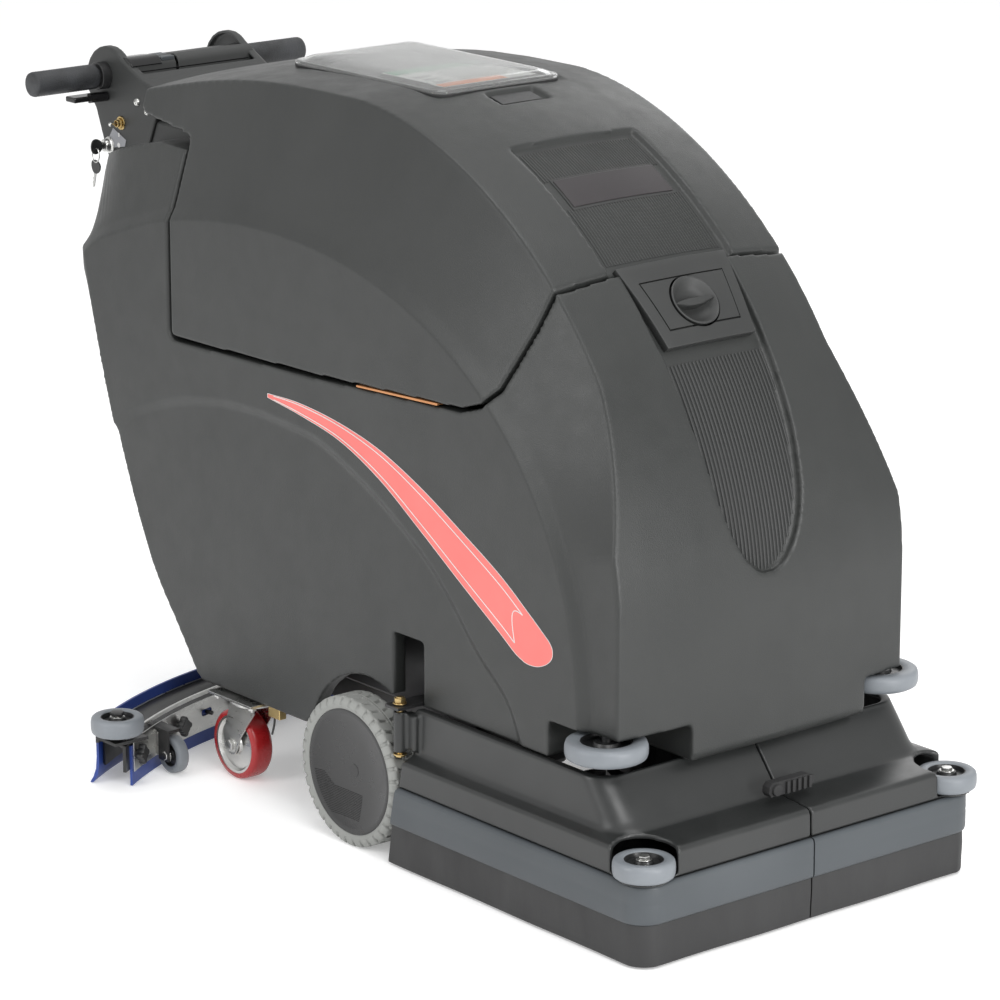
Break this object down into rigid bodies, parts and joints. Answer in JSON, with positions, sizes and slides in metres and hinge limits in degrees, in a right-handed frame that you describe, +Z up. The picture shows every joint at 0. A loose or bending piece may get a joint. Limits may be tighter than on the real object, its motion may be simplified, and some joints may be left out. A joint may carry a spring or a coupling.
{
  "type": "walk-behind floor scrubber",
  "caption": "Walk-behind disc floor scrubber: moulded body with tipping recovery tank, hinged splash doors, drive wheels, casters and a curved rear squeegee.",
  "frame": {"origin": "on the floor under the middle of the machine's box", "axes": "-Y is the way the machine drives, +X is its right side seen from the front, +Z is up"},
  "size_m": [0.8454, 1.4406, 1.0039],
  "materials": {
    "moulded_shell": "rotationally moulded, finely pebbled, soft sheen",
    "black_trim": "moulded, satin",
    "black_rubber": "matt",
    "bumper_band": "smooth, matt",
    "drive_tyre": "non-marking pale grey rubber, treaded",
    "grey_roller": "non-marking grey rubber",
    "painted_steel": "black paint, satin",
    "plated_steel": "zinc plated",
    "yellow_passivated_steel": "yellow zinc plating",
    "clear_plastic": "clear moulded plastic",
    "squeegee_rubber": "blue, smooth",
    "red_polyurethane": "cast red polyurethane, semi-gloss",
    "brush_bristle": "nylon bristle"
  },
  "bodies": {
    "machine": {"lower_body": "moulded_shell", "chassis_frame": "painted_steel", "battery_left": "black_trim", "battery_right": "black_trim", "vacuum_motor": "plated_steel", "transaxle": "painted_steel", "filler_plate": "moulded_shell", "caster_plate_left": "plated_steel", "caster_plate_right": "plated_steel", "door_pin_left": "yellow_passivated_steel", "door_pin_right": "yellow_passivated_steel", "control_housing": "moulded_shell", "operator_panel": "black_trim", "handlebar": "painted_steel", "grip_left": "black_rubber", "grip_right": "black_rubber", "toggle_nut": "plated_steel", "key_barrel": "black_trim", "vacuum_hose": "black_rubber"},
    "tank": {"recovery_tank": "moulded_shell", "lid_gasket": "black_rubber", "badge_plate": "black_trim"},
    "lid": {"clear_lid": "clear_plastic"},
    "filler_cap": {"filler_cap": "moulded_shell"},
    "deck": {"brush_deck": "painted_steel", "brush_motor": "painted_steel"},
    "brush": {"brush_disc": "brush_bristle"},
    "squeegee_arm": {"squeegee_arm": "painted_steel"},
    "squeegee": {"squeegee_frame": "plated_steel", "squeegee_blade_rear": "squeegee_rubber", "squeegee_blade_front": "squeegee_rubber"},
    "door_latch": {"door_latch": "black_rubber"},
    "toggle_lever": {"toggle_lever": "plated_steel"},
    "ignition_key": {"ignition_key": "plated_steel"},
    "drive_wheel_left": {"drive_tyre_left": "drive_tyre", "drive_hub_left": "black_trim"},
    "caster_fork_left": {"caster_fork_left": "plated_steel"},
    "caster_wheel_left": {"caster_wheel_left": "red_polyurethane"},
    "door_left": {"splash_door_left": "moulded_shell", "bumper_band_left": "bumper_band", "door_skirt_left": "black_rubber"},
    "body_roller_left": {"body_roller_left": "grey_roller"},
    "door_roller_left": {"door_roller_left": "grey_roller"},
    "squeegee_bumper_left": {"squeegee_bumper_left": "grey_roller"},
    "squeegee_support_wheel_left": {"squeegee_support_wheel_left": "grey_roller"},
    "trigger_left": {"trigger_left": "black_trim"},
    "drive_wheel_right": {"drive_tyre_right": "drive_tyre", "drive_hub_right": "black_trim"},
    "caster_fork_right": {"caster_fork_right": "plated_steel"},
    "caster_wheel_right": {"caster_wheel_right": "red_polyurethane"},
    "door_right": {"splash_door_right": "moulded_shell", "bumper_band_right": "bumper_band", "door_skirt_right": "black_rubber"},
    "body_roller_right": {"body_roller_right": "grey_roller"},
    "door_roller_right": {"door_roller_right": "grey_roller"},
    "squeegee_bumper_right": {"squeegee_bumper_right": "grey_roller"},
    "squeegee_support_wheel_right": {"squeegee_support_wheel_right": "grey_roller"},
    "trigger_right": {"trigger_right": "black_trim"}
  },
  "joints": [
    {"name": "tank_tilt", "type": "hinge", "parent": "machine", "child": "tank", "pos_m": [-0.255, -0.1092, 0.6185], "axis": [0, -1, 0], "range_deg": [0, 75]},
    {"name": "lid_hinge", "type": "hinge", "parent": "tank", "child": "lid", "pos_m": [0, 0.2358, 0.9879], "axis": [-1, 0, 0], "range_deg": [0, 90]},
    {"name": "cap_turn", "type": "hinge", "parent": "machine", "child": "filler_cap", "pos_m": [0, -0.47018, 0.76728], "axis": [0, -0.7485, 0.6631], "range_deg": [0, 90]},
    {"name": "deck_lift", "type": "slide", "parent": "machine", "child": "deck", "axis": [0, 0, 1], "range_m": [0, 0.04]},
    {"name": "brush_spin", "type": "hinge", "parent": "deck", "child": "brush", "pos_m": [0, -0.4422, 0.04], "axis": [0, 0, 1], "continuous": true},
    {"name": "squeegee_lift", "type": "hinge", "parent": "machine", "child": "squeegee_arm", "pos_m": [0, 0.1528, 0.11], "axis": [1, 0, 0], "range_deg": [0, 8], "deforming": ["vacuum_hose"]},
    {"name": "squeegee_swing", "type": "hinge", "parent": "squeegee_arm", "child": "squeegee", "pos_m": [0, 0.2908, 0.08], "axis": [0, 0, 1], "range_deg": [-6, 6]},
    {"name": "drive_wheel_left_spin", "type": "hinge", "parent": "machine", "child": "drive_wheel_left", "pos_m": [-0.261, -0.1092, 0.103], "axis": [1, 0, 0], "continuous": true},
    {"name": "caster_left_swivel", "type": "hinge", "parent": "machine", "child": "caster_fork_left", "pos_m": [-0.224, 0.1808, 0.1185], "axis": [0, 0, 1], "continuous": true},
    {"name": "caster_wheel_left_spin", "type": "hinge", "parent": "caster_fork_left", "child": "caster_wheel_left", "pos_m": [-0.224, 0.2068, 0.05], "axis": [1, 0, 0], "continuous": true},
    {"name": "door_left_swing", "type": "hinge", "parent": "machine", "child": "door_left", "pos_m": [-0.276, -0.2132, 0.186], "axis": [0, 0, -1], "range_deg": [0, 42]},
    {"name": "body_roller_left_spin", "type": "hinge", "parent": "machine", "child": "body_roller_left", "pos_m": [-0.2352, -0.5772, 0.249], "axis": [0, 0, 1], "continuous": true},
    {"name": "door_roller_left_spin", "type": "hinge", "parent": "door_left", "child": "door_roller_left", "pos_m": [-0.2626, -0.6807, 0.128], "axis": [0, 0, 1], "continuous": true},
    {"name": "squeegee_bumper_left_spin", "type": "hinge", "parent": "squeegee", "child": "squeegee_bumper_left", "pos_m": [-0.385, 0.2788, 0.092], "axis": [0, 0, 1], "continuous": true},
    {"name": "squeegee_support_wheel_left_spin", "type": "hinge", "parent": "squeegee", "child": "squeegee_support_wheel_left", "pos_m": [-0.29, 0.2813, 0.0275], "axis": [1, 0, 0], "continuous": true},
    {"name": "trigger_left_squeeze", "type": "hinge", "parent": "machine", "child": "trigger_left", "pos_m": [-0.14, 0.6678, 0.882], "axis": [1, 0, 0], "range_deg": [0, 12], "stiffness_Nm_per_rad": 0.25, "springref_deg": -11.46},
    {"name": "drive_wheel_right_spin", "type": "hinge", "parent": "machine", "child": "drive_wheel_right", "pos_m": [0.261, -0.1092, 0.103], "axis": [1, 0, 0], "continuous": true},
    {"name": "caster_right_swivel", "type": "hinge", "parent": "machine", "child": "caster_fork_right", "pos_m": [0.224, 0.1808, 0.1185], "axis": [0, 0, 1], "continuous": true},
    {"name": "caster_wheel_right_spin", "type": "hinge", "parent": "caster_fork_right", "child": "caster_wheel_right", "pos_m": [0.224, 0.2068, 0.05], "axis": [1, 0, 0], "continuous": true},
    {"name": "door_right_swing", "type": "hinge", "parent": "machine", "child": "door_right", "pos_m": [0.276, -0.2132, 0.186], "axis": [0, 0, 1], "range_deg": [0, 42]},
    {"name": "body_roller_right_spin", "type": "hinge", "parent": "machine", "child": "body_roller_right", "pos_m": [0.2352, -0.5772, 0.249], "axis": [0, 0, 1], "continuous": true},
    {"name": "door_roller_right_spin", "type": "hinge", "parent": "door_right", "child": "door_roller_right", "pos_m": [0.2626, -0.6807, 0.128], "axis": [0, 0, 1], "continuous": true},
    {"name": "squeegee_bumper_right_spin", "type": "hinge", "parent": "squeegee", "child": "squeegee_bumper_right", "pos_m": [0.385, 0.2788, 0.092], "axis": [0, 0, 1], "continuous": true},
    {"name": "squeegee_support_wheel_right_spin", "type": "hinge", "parent": "squeegee", "child": "squeegee_support_wheel_right", "pos_m": [0.29, 0.2813, 0.0275], "axis": [1, 0, 0], "continuous": true},
    {"name": "trigger_right_squeeze", "type": "hinge", "parent": "machine", "child": "trigger_right", "pos_m": [0.14, 0.6678, 0.882], "axis": [1, 0, 0], "range_deg": [0, 12], "stiffness_Nm_per_rad": 0.25, "springref_deg": -11.46},
    {"name": "latch_lift", "type": "hinge", "parent": "door_left", "child": "door_latch", "pos_m": [-0.03, -0.6592, 0.172], "axis": [0, -1, 0], "range_deg": [0, 100]},
    {"name": "toggle_flip", "type": "hinge", "parent": "machine", "child": "toggle_lever", "pos_m": [-0.112, 0.6328, 0.848], "axis": [0, 1, 0], "range_deg": [-12, 12]},
    {"name": "key_turn", "type": "hinge", "parent": "machine", "child": "ignition_key", "pos_m": [-0.112, 0.6628, 0.812], "axis": [1, 0, 0], "range_deg": [0, 90]}
  ],
  "couplings": [
    {"joint": "door_right_swing", "follows": "door_left_swing", "ratio": 1}
  ]
}
